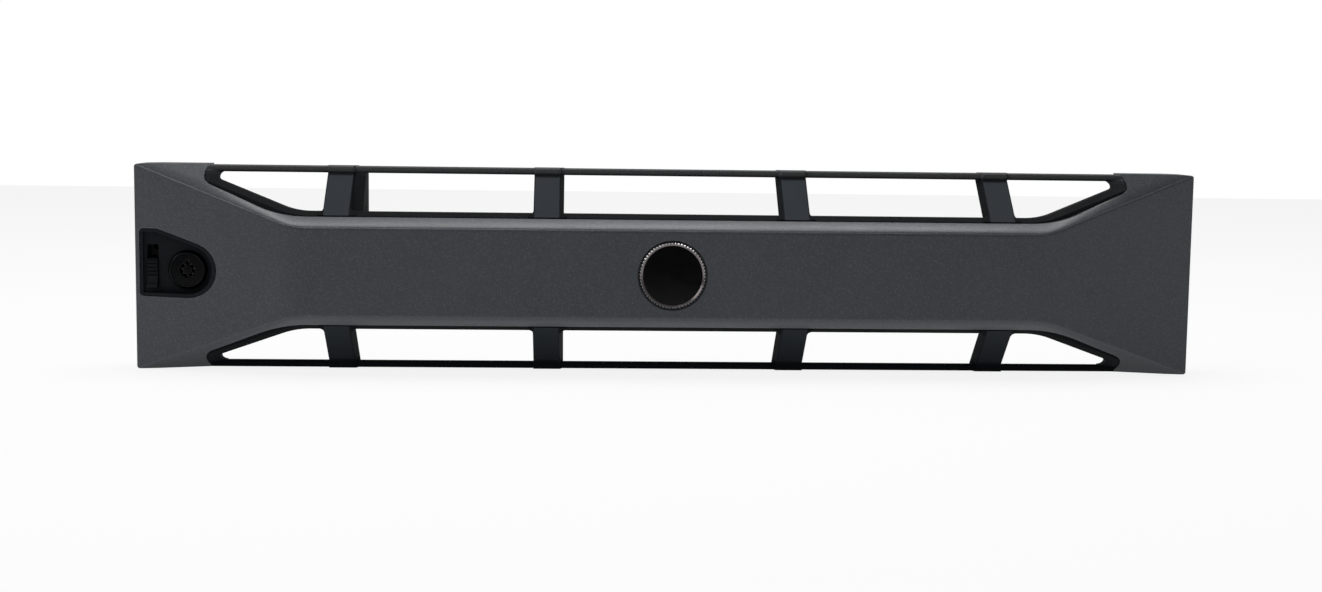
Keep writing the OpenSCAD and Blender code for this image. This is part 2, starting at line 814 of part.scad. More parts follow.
module lock_pins() {
    mid = (key_r + key_post_r) / 2;
    placed() color(steel_color) translate([lock_x, plug_front, lock_z])
        for (i = [0 : pin_count - 1]) rotate([0, 360 * (i + 0.5) / pin_count, 0])
            translate([0, key_d, mid]) rotate([90, 0, 0]) cylinder(r = key_pin_r, h = key_d - 1.2, $fn = 24);
}

module lock_cam() {
    placed() color(steel_color) difference() {
        union() {
            rod([lock_x, lock_z], 6.5, cam_d, cam_d + cam_t);
            slab(cam_d, cam_d + cam_t) translate([lock_x, lock_z]) polygon(rounded([
                [-cam_w / 2, 0, 0], [cam_w / 2 - 1, 4 - cam_l, 0], [cam_w / 2 - 1, -cam_l, 1.5],
                [-cam_w / 2, -cam_l, 1.5]
            ]));
        }
        translate([lock_x, cam_d, lock_z])
            cube([2 * tail_half + 0.1, 4 * cam_t, 2 * tail_half + 0.1], center = true);
    }
}

module cam_screw() {
    placed() color(steel_color) translate([lock_x, 0, lock_z]) {
        rod([0, 0], 1.47, cam_d + cam_t - 6.5, cam_d + cam_t + 0.2);
        difference() {
            rod([0, 0], 3.6, cam_d + cam_t, cam_d + cam_t + 1.8);
            cross_recess(cam_d + cam_t + 1.8, 2, 1);
        }
    }
}

// A cross recess that ends at depth d
module cross_recess(d, half, deep) {
    for (turn = [0, 90]) translate([0, d, 0]) rotate([0, turn, 0])
        cube([2 * half, 2 * deep, 0.7], center = true);
}

// ---------- release slider and latch ----------

module release_slider() {
    w = slot_w - 2 * slide_gap;
    ridge_pitch = 1.55;
    ridges = floor((slider_h - 3) / ridge_pitch);
    front = floor_d - slider_proud;
    placed() color(frame_color) difference() {
        union() {
            slab(front, latch_d) translate([slot_x, slider_z]) round_rect(w, slider_h, 0.5);
            // thumb ledge at the lower end
            translate([slot_x - w / 2, front - 0.9, slider_z - slider_h / 2 + 0.2]) cube([w, 3, 1.4]);
        }
        for (i = [0 : ridges - 1])
            translate([slot_x - w, front, slider_z + slider_h / 2 - 1.1 - i * ridge_pitch])
                rotate([45, 0, 0]) cube([2 * w, 0.75, 0.75]);
        rod([slot_x, slider_z], 0.9 + pilot_gap, latch_d - 4, latch_d + over);
    }
}

module slider_screw() {
    placed() color(steel_color) translate([slot_x, 0, slider_z]) {
        rod([0, 0], 0.9, latch_d - 3.5, latch_back + 0.2);
        difference() {
            rod([0, 0], 1.9, latch_back, latch_back + 1.1);
            cross_recess(latch_back + 1.1, 1.1, 0.6);
        }
    }
}

// Side view of a hook whose shank starts in the plate and whose barb points down
module hook_side() {
    half = hook_h / 2;
    grip = body_d + ear_t;
    polygon([
        [latch_d, half], [hook_end - 3, half], [hook_end, half - 3], [hook_end, -1.2],
        [hook_end - 2, -half - 0.5], [grip, -half - 0.5], [grip, -1], [body_d - 0.8, -1],
        [body_d - 0.8, -half], [latch_d, -half]
    ]);
}

module latch_plate() {
    w = latch_right - latch_left;
    placed() color(plated_color) difference() {
        union() {
            slab(latch_d, latch_back) translate([latch_left + w / 2, 0]) round_rect(w, 2 * latch_half_h, 1.5);
            for (z = [-hook_z, hook_z])
                translate([0, 0, z]) along_x(latch_left, latch_left + sheet_t) hook_side();
            // arm and folded seat for the return spring
            slab(latch_d, latch_back) translate([latch_right - 1, spring_seat_z - sheet_t])
                square([spring_x + spring_r + 0.6 - latch_right + 1, 3]);
            translate([spring_x - spring_r - 0.6, latch_d, spring_seat_z - sheet_t])
                cube([2 * spring_r + 1.2, spring_d + spring_r + 0.4 - latch_d, sheet_t]);
            translate([spring_x, spring_d, spring_seat_z - 0.5]) cylinder(r = spigot_r, h = 2.5);
        }
        rod([slot_x, slider_z], 1.1, latch_d - over, latch_back + over);
        for (place = guide_places) slab(latch_d - over, latch_back + over)
            translate([place.x, place.y - latch_travel / 2])
                round_rect(2 * guide_r + 0.2, 2 * guide_r + 0.2 + latch_travel, guide_r - 0.1);
    }
}

module latch_screws() {
    placed() color(steel_color) for (place = guide_places) translate([place.x, 0, place.y]) {
        rod([0, 0], 0.9, floor_d + 1.3, latch_back);
        rod([0, 0], guide_r, latch_d - 0.05, latch_back + 0.15);
        difference() {
            rod([0, 0], guide_head_r, latch_back + 0.1, latch_back + 1.3);
            cross_recess(latch_back + 1.3, 1.3, 0.6);
        }
    }
}

// Centre line of the coil at turn t
function coil_point(t) = [
    (spring_r - wire_r) * cos(360 * t), (spring_r - wire_r) * sin(360 * t),
    wire_r + (spring_h - 2 * wire_r) * t / spring_turns
];

module latch_spring() {
    sides = 8;
    rings = spring_turns * 14;
    radius = spring_r - wire_r;
    points = [for (k = [0 : rings])
        let (t = spring_turns * k / rings, c = coil_point(t), out = [cos(360 * t), sin(360 * t), 0])
        for (j = [0 : sides - 1])
            c + wire_r * (out * cos(360 * j / sides) + [0, 0, sin(360 * j / sides)])];
    faces = concat(
        [[for (j = [0 : sides - 1]) j]],
        [[for (j = [sides - 1 : -1 : 0]) rings * sides + j]],
        [for (k = [0 : rings - 1], j = [0 : sides - 1])
            let (next = (j + 1) % sides)
            [k * sides + j, (k + 1) * sides + j, (k + 1) * sides + next, k * sides + next]]
    );
    placed() color(steel_color) translate([spring_x, spring_d, spring_seat_z])
        polyhedron(points = points, faces = faces, convexity = 10);
}

// ---------- hook bracket at the right end ----------

module bracket_hook() {
    tip = hook_end - sheet_t;
    translate([0, 0, -hook_h / 2]) linear_extrude(hook_h) polygon([
        [bracket_x, web_back], [bracket_x, tip], [bracket_x + hook_turn, tip],
        [bracket_x + hook_turn, hook_end - 0.4], [bracket_x + hook_turn - 0.6, hook_end],
        [bracket_x - sheet_t, hook_end], [bracket_x - sheet_t, web_back]
    ]);
}

module hook_bracket() {
    placed() color(steel_color) difference() {
        union() {
            slab(web_back, web_back + sheet_t)
                translate([bracket_x - bracket_w / 2, 0]) round_rect(bracket_w, 2 * bracket_half_h, 1);
            for (z = [-hook_z, hook_z]) translate([0, 0, z]) bracket_hook();
        }
        for (place = bracket_screw_places) rod(place, through_r, web_back - over, web_back + sheet_t + over);
    }
}

// ---------- screws ----------

// A pan-head screw whose head sits at depth d
module pan_screw(place, d, length, head_h) {
    translate([place.x, 0, place.y]) {
        rod([0, 0], screw_r, d - length, d + 0.2);
        difference() {
            rod([0, 0], screw_head_r, d, d + head_h);
            cross_recess(d + head_h, 1.5, head_h / 2);
        }
    }
}

module frame_screws() {
    placed() color(steel_color)
        for (place = face_screw_places) pan_screw(place, web_back, screw_l, screw_head_h);
}

module housing_screws() {
    placed() color(steel_color)
        for (place = housing_screw_places) pan_screw(place, web_back, screw_l - 3, screw_head_h);
}

module bracket_screws() {
    placed() color(steel_color)
        for (place = bracket_screw_places) pan_screw(place, web_back + sheet_t, 5.5, 1);
}

faceplate();
inner_frame();
badge_ring();
badge_disc();
badge_pad();
lock_housing();
lock_barrel();
lock_nut();
lock_plug();
lock_pins();
lock_cam();
cam_screw();
release_slider();
slider_screw();
latch_plate();
latch_screws();
latch_spring();
hook_bracket();
bracket_screws();
frame_screws();
housing_screws();
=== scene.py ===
"""Lockable front bezel of a rack server: finishes, fine parts and a plain studio.

Every piece is in metres in the part's frame: X across the width, Y from the front to the
server, Z up from the lower edge.
"""

import math

import bpy
from bpy.props import FloatProperty, FloatVectorProperty, IntProperty, PointerProperty
from mathutils import Matrix, Vector


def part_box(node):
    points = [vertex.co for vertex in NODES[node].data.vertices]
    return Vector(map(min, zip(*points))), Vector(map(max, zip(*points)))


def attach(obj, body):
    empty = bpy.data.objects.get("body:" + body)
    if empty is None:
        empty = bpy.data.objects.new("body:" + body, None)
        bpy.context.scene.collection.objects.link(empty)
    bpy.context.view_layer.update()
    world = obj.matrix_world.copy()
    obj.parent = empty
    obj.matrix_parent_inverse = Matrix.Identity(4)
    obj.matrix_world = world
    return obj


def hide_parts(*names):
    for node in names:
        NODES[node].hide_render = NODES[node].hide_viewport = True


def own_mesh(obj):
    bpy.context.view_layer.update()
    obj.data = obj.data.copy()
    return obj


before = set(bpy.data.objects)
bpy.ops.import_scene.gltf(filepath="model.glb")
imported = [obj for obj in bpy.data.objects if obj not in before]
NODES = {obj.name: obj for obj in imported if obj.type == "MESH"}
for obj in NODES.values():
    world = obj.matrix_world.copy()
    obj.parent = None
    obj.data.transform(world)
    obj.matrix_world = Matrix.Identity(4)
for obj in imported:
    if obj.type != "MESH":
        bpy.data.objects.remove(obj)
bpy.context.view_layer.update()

bl_info = {
    "name": "Server front bezel",
    "version": (1, 0, 0),
    "blender": (4, 5, 0),
    "location": "3D View > Sidebar > Bezel",
    "description": "Builds the finishes and fine parts of a lockable server bezel",
    "category": "Object",
}

MM = 0.001


# ---------- sizes and colours ----------

def color_prop(name, description, default):
    return FloatVectorProperty(
        name=name, description=description, default=default, subtype="COLOR", min=0, max=1)


def length_prop(name, description, default):
    return FloatProperty(
        name=name, description=description, default=default, unit="LENGTH", min=0, precision=5)


def factor_prop(name, description, default, high=1):
    return FloatProperty(
        name=name, description=description, default=default, subtype="FACTOR", min=0, max=high)


class BezelPaint(bpy.types.PropertyGroup):
    """The slate paint of the faceplate."""

    color: color_prop("Colour", "Body colour of the paint", (0.0430, 0.0515, 0.0640))
    fleck: color_prop("Fleck", "Colour of the fine flecks in the paint", (0.135, 0.145, 0.160))
    fleck_size: length_prop("Fleck size", "Size of the flecks", 0.60 * MM)
    peel_size: length_prop("Peel size", "Size of the paint's fine texture", 0.75 * MM)
    roughness: factor_prop("Roughness", "Roughness of the paint", 0.46)
    crown: factor_prop("Crown", "How far the long facets are crowned", 0.9)
    flatter: factor_prop("Flatter", "How far the facets lie flatter at the ends", 0.8)
    edge: length_prop("Edge", "Rounding of the faceplate's cut edges", 0.7 * MM)


class BezelPlastic(bpy.types.PropertyGroup):
    """The black moulded plastic of the frame, lock housing and slider."""

    color: color_prop("Colour", "Colour of the plastic", (0.0056, 0.0071, 0.0088))
    scuff: color_prop("Scuff", "Colour of rubbed edges", (0.030, 0.032, 0.036))
    grain_size: length_prop("Grain size", "Size of the moulded grain", 0.40 * MM)
    roughness: factor_prop("Roughness", "Roughness of the plastic", 0.74)
    edge: length_prop("Edge", "Rounding of the moulded edges", 0.14 * MM)


class BezelBadge(bpy.types.PropertyGroup):
    """The round badge: a knurled metal ring about a gloss black disc."""

    metal: color_prop("Metal", "Colour of the ring's knurled rim", (0.62, 0.61, 0.61))
    # The slope is coloured as a darker copy of the rim metal: painted shade, with a pinkish tint
    slope: color_prop("Slope", "Colour of the ring's inner slope", (0.20, 0.175, 0.175))
    disc: color_prop("Disc", "Colour of the disc", (0.0024, 0.0024, 0.0027))
    knurls: IntProperty(
        name="Knurls", description="Number of knurls round the ring", default=62, min=24, max=240)
    knurl_depth: length_prop("Knurl depth", "Depth of the knurls", 0.34 * MM)


class BezelMetal(bpy.types.PropertyGroup):
    """The black lock and the plated steel parts."""

    lock: color_prop("Lock", "Colour of the black plated lock", (0.0018, 0.0023, 0.0031))
    steel: color_prop("Steel", "Colour of the zinc plated steel", (0.52, 0.53, 0.55))
    brush_size: length_prop("Rolling marks", "Width of the steel's rolling marks", 0.25 * MM)
    roughness: factor_prop("Roughness", "Roughness of the steel", 0.34)
    edge: length_prop("Edge", "Rounding of the sheared edges", 0.18 * MM)


class BezelStudio(bpy.types.PropertyGroup):
    """The floor, the lamps and the room."""

    floor: color_prop("Floor", "Colour of the floor", (0.83, 0.83, 0.83))
    overhead: FloatProperty(
        name="Overhead", description="Power of the overhead softbox", default=8.5,
        subtype="POWER", min=0)
    front: FloatProperty(
        name="Front", description="Power of the soft front light", default=3.0,
        subtype="POWER", min=0)
    room_front: factor_prop("Room in front", "Brightness of the room before the bezel", 0.10)
    room_back: factor_prop("Room behind", "Brightness of the room behind the bezel", 0.55)


# The faceplate's front: where its face bends back, how fast, and the depth of a facet
MID_HEIGHT = 42.7 * MM
RAIL_TOP = 85.1 * MM
# The ribs' places along the width, and half their width
RIB_CENTRES = (51.65 * MM, 137.55 * MM)
RIB_REACH = 5.4 * MM
BEND_X = 155.0 * MM
FACE_SLOPE = 20.0 / 66.5
FACE_Y = -21.55 * MM
FACET_DEPTH = 6.8 * MM
# Where the facets start to lie flatter towards the side edges, and where they do fully
END_START = 158.0 * MM
END_FULL = 192.0 * MM


# ---------- nodes for materials ----------

def add(tree, kind, values=None, **settings):
    """Adds a shader node. A value that is a socket is linked, any other is set."""
    new = tree.nodes.new("ShaderNode" + kind)
    for name, value in settings.items():
        setattr(new, name, value)
    for name, value in (values or {}).items():
        if isinstance(value, bpy.types.NodeSocket):
            tree.links.new(value, new.inputs[name])
        else:
            new.inputs[name].default_value = value
    return new


def math_node(tree, operation, *values):
    return add(tree, "Math", dict(enumerate(values)), operation=operation).outputs[0]


def spread(tree, value, low, high, out_low=0.0, out_high=1.0):
    """Maps a value from one range to another, clamped."""
    return add(tree, "MapRange", {
        "Value": value, "From Min": low, "From Max": high,
        "To Min": out_low, "To Max": out_high}).outputs["Result"]


def blend_color(tree, factor, a, b):
    new = tree.nodes.new("ShaderNodeMix")
    new.data_type = "RGBA"
    for socket, value in ((new.inputs[0], factor), (new.inputs[6], a), (new.inputs[7], b)):
        if isinstance(value, bpy.types.NodeSocket):
            tree.links.new(value, socket)
        else:
            socket.default_value = value
    return new.outputs[2]


def rgba(color):
    return (*color[:3], 1.0)


def new_group(name, inputs, outputs):
    """An empty node group with its sockets. inputs are (name, default) pairs."""
    tree = bpy.data.node_groups.new(name, "ShaderNodeTree")
    for socket, default in inputs:
        tree.interface.new_socket(
            name=socket, in_out="INPUT", socket_type="NodeSocketFloat").default_value = default
    for socket, kind in outputs:
        tree.interface.new_socket(name=socket, in_out="OUTPUT", socket_type="NodeSocket" + kind)
    source = tree.nodes.new("NodeGroupInput").outputs
    sink = tree.nodes.new("NodeGroupOutput").inputs
    return tree, source, sink


def place_of(tree):
    return add(tree, "TexCoord").outputs["Object"]


def per(tree, size):
    """Turns a feature size into a texture scale."""
    return math_node(tree, "DIVIDE", 1.0, size)


def fine_texture_group():
    """A soft, fine texture: its height, and sparse flecks."""
    tree, source, sink = new_group(
        "Fine texture", [("Size", 0.0005), ("Fleck Size", 0.0005)],
        [("Height", "Float"), ("Flecks", "Float")])
    place = place_of(tree)
    soft = add(tree, "TexNoise", {
        "Vector": place, "Scale": per(tree, source["Size"]), "Detail": 3.0, "Roughness": 0.62})
    cells = add(tree, "TexVoronoi", {
        "Vector": place, "Scale": per(tree, source["Fleck Size"]), "Randomness": 1.0})
    grit = add(tree, "TexWhiteNoise", {"Vector": cells.outputs["Position"]})
    lit = spread(tree, grit.outputs["Value"], 0.30, 1.0)
    near = spread(tree, cells.outputs["Distance"], 0.20, 0.62, 1.0, 0.0)
    tree.links.new(soft.outputs["Fac"], sink["Height"])
    tree.links.new(math_node(tree, "MULTIPLY", lit, near), sink["Flecks"])
    return tree


def moulded_grain_group():
    """A pebbled moulded grain, and the patches in which it shines less."""
    tree, source, sink = new_group(
        "Moulded grain", [("Size", 0.0005)], [("Height", "Float"), ("Patches", "Float")])
    place = place_of(tree)
    scale = per(tree, source["Size"])
    pebbles = add(tree, "TexVoronoi", {"Vector": place, "Scale": scale, "Smoothness": 0.6},
                  feature="SMOOTH_F1")
    grit = add(tree, "TexNoise", {
        "Vector": place, "Scale": math_node(tree, "MULTIPLY", scale, 2.6), "Detail": 2.0})
    height = math_node(tree, "ADD", math_node(tree, "MULTIPLY", pebbles.outputs["Distance"], 0.7),
                       math_node(tree, "MULTIPLY", grit.outputs["Fac"], 0.5))
    patches = add(tree, "TexNoise", {"Vector": place, "Scale": 38.0, "Detail": 4.0})
    tree.links.new(height, sink["Height"])
    tree.links.new(spread(tree, patches.outputs["Fac"], 0.35, 0.68), sink["Patches"])
    return tree


def edge_wear_group():
    """A mask along convex and concave edges, broken up by a patchy noise."""
    tree, source, sink = new_group(
        "Edge wear", [("Radius", 0.0004), ("Amount", 0.5), ("Patch Size", 0.006)],
        [("Mask", "Float"), ("Normal", "Vector")])
    rounded = add(tree, "Bevel", {"Radius": source["Radius"]}, samples=8)
    flat = add(tree, "NewGeometry").outputs["Normal"]
    facing = add(tree, "VectorMath", {0: rounded.outputs["Normal"], 1: flat},
                 operation="DOT_PRODUCT").outputs["Value"]
    edge = spread(tree, facing, 0.995, 0.90)
    patchy = add(tree, "TexNoise", {
        "Vector": place_of(tree), "Scale": per(tree, source["Patch Size"]), "Detail": 5.0,
        "Roughness": 0.7})
    rubbed = spread(tree, patchy.outputs["Fac"], 0.42, 0.70, 0.25, 1.0)
    mask = math_node(tree, "MULTIPLY", math_node(tree, "MULTIPLY", edge, rubbed), source["Amount"])
    tree.links.new(mask, sink["Mask"])
    tree.links.new(rounded.outputs["Normal"], sink["Normal"])
    return tree


def facet_crown_group():
    """Turns the normals of the long facets: slightly crowned across, and flatter at the ends."""
    tree, source, sink = new_group(
        "Facet crown", [("Amount", 0.4), ("Flatter", 0.7)], [("Normal", "Vector")])
    tree.interface.new_socket(name="Base", in_out="INPUT", socket_type="NodeSocketVector")
    source = tree.nodes["Group Input"].outputs
    place = add(tree, "SeparateXYZ", {0: place_of(tree)}).outputs
    flat = add(tree, "NewGeometry").outputs["Normal"]
    up = add(tree, "SeparateXYZ", {0: flat}).outputs["Z"]
    # how far a point lies behind the face at its place along the width
    past_bend = math_node(tree, "MAXIMUM", math_node(
        tree, "SUBTRACT", math_node(tree, "ABSOLUTE", place["X"]), BEND_X), 0.0)
    face_y = math_node(tree, "MULTIPLY_ADD", past_bend, FACE_SLOPE, FACE_Y)
    behind = math_node(tree, "SUBTRACT", place["Y"], face_y)
    across = spread(tree, behind, 0.0, FACET_DEPTH, -0.75, 0.65)
    steep = math_node(tree, "ABSOLUTE", up)
    facet = math_node(tree, "MULTIPLY", spread(tree, steep, 0.60, 0.74),
                      spread(tree, steep, 0.93, 0.99, 1.0, 0.0))
    lift = math_node(tree, "MULTIPLY", math_node(tree, "MULTIPLY", across, facet), source["Amount"])
    # the face itself is hollowed a little from top to bottom
    face = spread(tree, steep, 0.2, 0.5, 1.0, 0.0)
    level = spread(tree, place["Z"], MID_HEIGHT - 27 * MM, MID_HEIGHT + 27 * MM, 0.06, -0.06)
    rise = math_node(tree, "ADD", math_node(tree, "MULTIPLY", lift, up),
                     math_node(tree, "MULTIPLY", face, level))
    turned = add(tree, "CombineXYZ", {"Z": rise})
    bent = add(tree, "VectorMath", {0: source["Base"], 1: turned.outputs[0]}, operation="ADD")
    # where the facets run out to the corners they turn towards the face
    out = spread(tree, math_node(tree, "ABSOLUTE", place["X"]), END_START, END_FULL)
    flatter = add(tree, "CombineXYZ", {
        "X": math_node(tree, "MULTIPLY", math_node(tree, "SIGN", place["X"]), 0.13),
        "Y": -0.905, "Z": math_node(tree, "MULTIPLY", math_node(tree, "SIGN", up), 0.407)})
    share = math_node(tree, "MULTIPLY", math_node(tree, "MULTIPLY", out, facet), source["Flatter"])
    turn = add(tree, "VectorMath", {0: flatter.outputs[0], 1: bent.outputs[0]},
               operation="SUBTRACT").outputs[0]
    part = add(tree, "VectorMath", {0: turn, "Scale": share}, operation="SCALE").outputs[0]
    whole = add(tree, "VectorMath", {0: bent.outputs[0], 1: part}, operation="ADD").outputs[0]
    even = add(tree, "VectorMath", {0: whole}, operation="NORMALIZE")
    tree.links.new(even.outputs[0], sink["Normal"])
    return tree


def frame_shape_group():
    """The rounded top of the upper rail, and masks of that rail, of the openings' lips and of the
    ribs, where painted highlights and painted shade go.
    """
    tree, source, sink = new_group("Frame shape", [], [("Normal", "Vector"), ("Rail", "Float"),
                                                       ("Lip", "Float"), ("Rib", "Float")])
    tree.interface.new_socket(name="Base", in_out="INPUT", socket_type="NodeSocketVector")
    source = tree.nodes["Group Input"].outputs
    place = add(tree, "SeparateXYZ", {0: place_of(tree)}).outputs
    facing = add(tree, "SeparateXYZ", {0: add(tree, "NewGeometry").outputs["Normal"]}).outputs
    height = spread(tree, place["Z"], RAIL_TOP - 2.8 * MM, RAIL_TOP - 1.2 * MM)
    rail = math_node(tree, "MULTIPLY", height, spread(tree, facing["Y"], -0.1, -0.5))
    raised = add(tree, "CombineXYZ", {"Z": rail})
    bent = add(tree, "VectorMath", {0: source["Base"], 1: raised.outputs[0]}, operation="ADD")
    even = add(tree, "VectorMath", {0: bent.outputs[0]}, operation="NORMALIZE")
    tree.links.new(even.outputs[0], sink["Normal"])
    tree.links.new(rail, sink["Rail"])
    away = math_node(tree, "ABSOLUTE", math_node(tree, "SUBTRACT", place["Z"], MID_HEIGHT))
    within = math_node(tree, "LESS_THAN", away, 38.5 * MM)
    steep = spread(tree, math_node(tree, "ABSOLUTE", facing["Z"]), 0.35, 0.60)
    side = math_node(tree, "ABSOLUTE", place["X"])
    rib = math_node(tree, "MAXIMUM", *[
        math_node(tree, "LESS_THAN", math_node(tree, "ABSOLUTE", math_node(
            tree, "SUBTRACT", side, centre)), RIB_REACH) for centre in RIB_CENTRES])
    lip = math_node(tree, "MULTIPLY", math_node(tree, "MULTIPLY", within, steep),
                    math_node(tree, "SUBTRACT", 1.0, rib))
    tree.links.new(lip, sink["Lip"])
    tree.links.new(math_node(tree, "MULTIPLY", math_node(tree, "MULTIPLY", rib, within), spread(
        tree, math_node(tree, "ABSOLUTE", facing["Z"]), 0.60, 0.70)), sink["Rib"])
    return tree


def cut_edge_group():
    """A mask of the walls where the openings are cut through the faceplate."""
    tree, source, sink = new_group("Cut edge", [], [("Mask", "Float")])
    place = add(tree, "SeparateXYZ", {0: place_of(tree)}).outputs
    facing = add(tree, "SeparateXYZ", {0: add(tree, "NewGeometry").outputs["Normal"]}).outputs["Y"]
    height = math_node(tree, "ABSOLUTE", math_node(tree, "SUBTRACT", place["Z"], MID_HEIGHT))
    wall = math_node(tree, "LESS_THAN", math_node(tree, "ABSOLUTE", facing), 0.2)
    inside = math_node(tree, "MULTIPLY", math_node(tree, "LESS_THAN", height, 42.4 * MM),
                       math_node(tree, "LESS_THAN", math_node(tree, "ABSOLUTE", place["X"]), 0.195))
    tree.links.new(math_node(tree, "MULTIPLY", wall, inside), sink["Mask"])
    return tree


def settled_dust_group():
    """Fine dust on what faces up, in patchy clouds."""
    tree, source, sink = new_group("Settled dust", [("Amount", 0.3)], [("Mask", "Float")])
    up = add(tree, "SeparateXYZ", {0: add(tree, "NewGeometry").outputs["Normal"]}).outputs["Z"]
    specks = add(tree, "TexNoise", {
        "Vector": place_of(tree), "Scale": 900.0, "Detail": 3.0, "Roughness": 0.7})
    cloud = add(tree, "TexNoise", {"Vector": place_of(tree), "Scale": 24.0, "Detail": 3.0})
    mask = math_node(tree, "MULTIPLY", spread(tree, up, 0.35, 1.0),
                     spread(tree, specks.outputs["Fac"], 0.45, 0.75))
    mask = math_node(tree, "MULTIPLY", mask, spread(tree, cloud.outputs["Fac"], 0.3, 0.7, 0.3, 1.0))
    tree.links.new(math_node(tree, "MULTIPLY", mask, source["Amount"]), sink["Mask"])
    return tree


def handling_group():
    """Broad, faint marks that hands and cloths leave in a surface's shine."""
    tree, source, sink = new_group("Handling marks", [("Size", 0.03)], [("Marks", "Float")])
    scale = per(tree, source["Size"])
    broad = add(tree, "TexNoise", {
        "Vector": place_of(tree), "Scale": scale, "Detail": 5.0, "Roughness": 0.6,
        "Distortion": 0.8})
    tree.links.new(spread(tree, broad.outputs["Fac"], 0.3, 0.7), sink["Marks"])
    return tree


def rolling_marks_group():
    """Fine parallel marks along the sheet, with a plated spangle under them."""
    tree, source, sink = new_group(
        "Rolling marks", [("Size", 0.00025)], [("Height", "Float"), ("Spangle", "Float")])
    place = place_of(tree)
    drawn = add(tree, "Mapping", {"Vector": place, "Scale": (1.0, 1.0, 0.04)})
    lines = add(tree, "TexNoise", {
        "Vector": drawn.outputs["Vector"], "Scale": per(tree, source["Size"]), "Detail": 3.0,
        "Roughness": 0.65})
    spangle = add(tree, "TexVoronoi", {"Vector": place, "Scale": 420.0})
    shade = add(tree, "TexWhiteNoise", {"Vector": spangle.outputs["Position"]})
    tree.links.new(lines.outputs["Fac"], sink["Height"])
    tree.links.new(shade.outputs["Value"], sink["Spangle"])
    return tree


GROUPS = {
    "Fine texture": fine_texture_group,
    "Facet crown": facet_crown_group,
    "Cut edge": cut_edge_group,
    "Frame shape": frame_shape_group,
    "Moulded grain": moulded_grain_group,
    "Edge wear": edge_wear_group,
    "Settled dust": settled_dust_group,
    "Handling marks": handling_group,
    "Rolling marks": rolling_marks_group,
}


def use_group(tree, name, values=None):
    """Places a shared node group in a material, and builds it the first time."""
    group = bpy.data.node_groups.get(name) or GROUPS[name]()
    node = tree.nodes.new("ShaderNodeGroup")
    node.node_tree = group
    for socket, value in (values or {}).items():
        if isinstance(value, bpy.types.NodeSocket):
            tree.links.new(value, node.inputs[socket])
        else:
            node.inputs[socket].default_value = value
    return node.outputs


def new_material(name):
    """A material with a bare Principled BSDF; returns it, its node tree and the shader."""
    material = bpy.data.materials.new(name)
    material.use_nodes = True
    tree = material.node_tree
    return material, tree, tree.nodes["Principled BSDF"]


def wire(tree, shader, **sockets):
    """Links or sets the shader's sockets; underscores in a name stand for spaces."""
    for name, value in sockets.items():
        socket = shader.inputs[name.replace("_", " ")]
        if isinstance(value, bpy.types.NodeSocket):
            tree.links.new(value, socket)
        else:
            socket.default_value = value


# ---------- finishes ----------

def slate_paint():
    """Satin slate paint with a fine texture, flecks and rubbed edges."""
    if "Slate paint" in bpy.data.materials:
        return bpy.data.materials["Slate paint"]
    paint = bpy.context.scene.bezel_paint
    material, tree, shader = new_material("Slate paint")
    fine = use_group(tree, "Fine texture", {"Size": paint.peel_size, "Fleck Size": paint.fleck_size})
    wear = use_group(tree, "Edge wear", {"Radius": paint.edge, "Amount": 0.20,
                                         "Patch Size": 5 * MM})
    dust = use_group(tree, "Settled dust", {"Amount": 0.16})
    marks = use_group(tree, "Handling marks", {"Size": 0.045})
    flecks = math_node(tree, "MULTIPLY", fine["Flecks"], 0.50)
    warm = (paint.color[0] * 1.12, paint.color[1] * 1.06, paint.color[2] * 0.98, 1)
    base = blend_color(tree, marks["Marks"], rgba(tuple(0.90 * c for c in paint.color)), warm)
    body = blend_color(tree, flecks, base, rgba(paint.fleck))
    worn = blend_color(tree, wear["Mask"], body, (0.17, 0.18, 0.19, 1))
    dusty = blend_color(tree, dust["Mask"], worn, (0.33, 0.32, 0.30, 1))
    # the walls cut through the faceplate along the openings are darkened to near black
    cut = use_group(tree, "Cut edge")
    dusty = blend_color(tree, cut["Mask"], dusty, (0.006, 0.007, 0.008, 1))
    rough = math_node(tree, "ADD", paint.roughness - 0.05,
                      math_node(tree, "MULTIPLY", marks["Marks"], 0.10))
    crown = use_group(tree, "Facet crown", {
        "Amount": paint.crown, "Flatter": paint.flatter, "Base": wear["Normal"]})
    bump = add(tree, "Bump", {"Height": fine["Height"], "Normal": crown["Normal"],
                              "Strength": 0.75, "Distance": 0.10 * MM})
    wire(tree, shader, Base_Color=dusty, Roughness=rough, Normal=bump.outputs["Normal"])
    shader.inputs["Specular IOR Level"].default_value = 0.6
    return material


